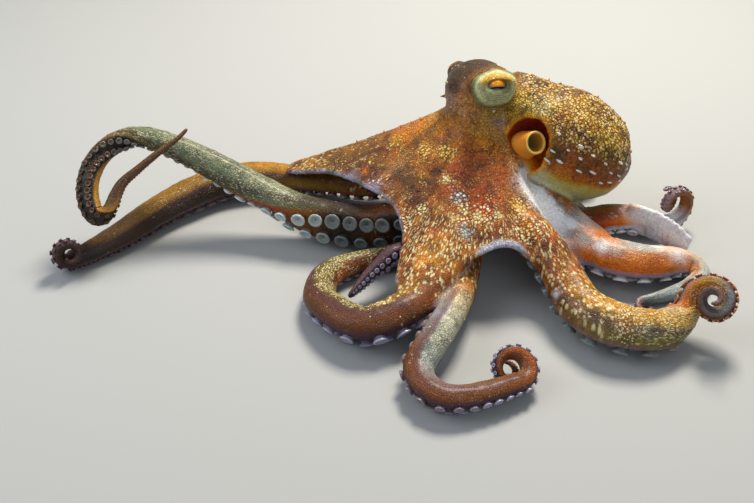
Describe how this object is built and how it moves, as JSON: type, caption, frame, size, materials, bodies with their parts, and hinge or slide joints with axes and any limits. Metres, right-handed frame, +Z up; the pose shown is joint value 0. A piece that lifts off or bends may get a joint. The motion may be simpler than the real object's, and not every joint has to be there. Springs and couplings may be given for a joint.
{
  "type": "octopus",
  "caption": "Common octopus crawling on a flat bed: web tented below the head, arms spread with curled tips, soft mantle lying back behind the eyes.",
  "frame": {"origin": "centre of the footprint's bounding box, on the floor that the arms rest on", "axes": "+X towards the mantle and the arms that lie under it, -X towards the two longest arms, -Y towards the side the left eye faces, +Z up"},
  "size_m": [0.5656, 0.3872, 0.1576],
  "materials": {
    "skin": "moist mottled skin, orange-brown with gold and cream flecks, olive on the upper arms",
    "suckers": "pale bluish-white soft cups with a damp sheen",
    "siphon_skin": "smooth moist orange-yellow skin",
    "eye": "wet glossy eyeball, gold iris with a dark slit pupil"
  },
  "bodies": {
    "root": {"arm_left_1_length_a": "skin", "arm_left_1_length_b": "skin", "arm_left_1_length_c": "skin", "arm_left_1_length_d": "skin", "arm_left_1_length_e": "skin", "arm_left_2_length_a": "skin", "arm_left_2_length_b": "skin", "arm_left_2_length_c": "skin", "arm_left_2_length_d": "skin", "arm_left_3_length_a": "skin", "arm_left_3_length_b": "skin", "arm_left_3_length_c": "skin", "arm_left_3_length_d": "skin", "arm_left_4_length_a": "skin", "arm_left_4_length_b": "skin", "arm_left_4_length_c": "skin", "arm_left_4_length_d": "skin", "arm_right_1_length_a": "skin", "arm_right_1_length_b": "skin", "arm_right_1_length_c": "skin", "arm_right_1_length_d": "skin", "arm_right_2_length_a": "skin", "arm_right_2_length_b": "skin", "arm_right_2_length_c": "skin", "arm_right_3_length_a": "skin", "arm_right_3_length_b": "skin", "arm_right_3_length_c": "skin", "arm_right_3_length_d": "skin", "arm_right_4_length_a": "skin", "arm_right_4_length_b": "skin", "arm_right_4_length_c": "skin", "arm_right_4_length_d": "skin", "crown": "skin", "eye_left": "eye", "eye_right": "eye", "head": "skin", "mantle": "skin", "siphon": "siphon_skin"}
  },
  "joints": []
}
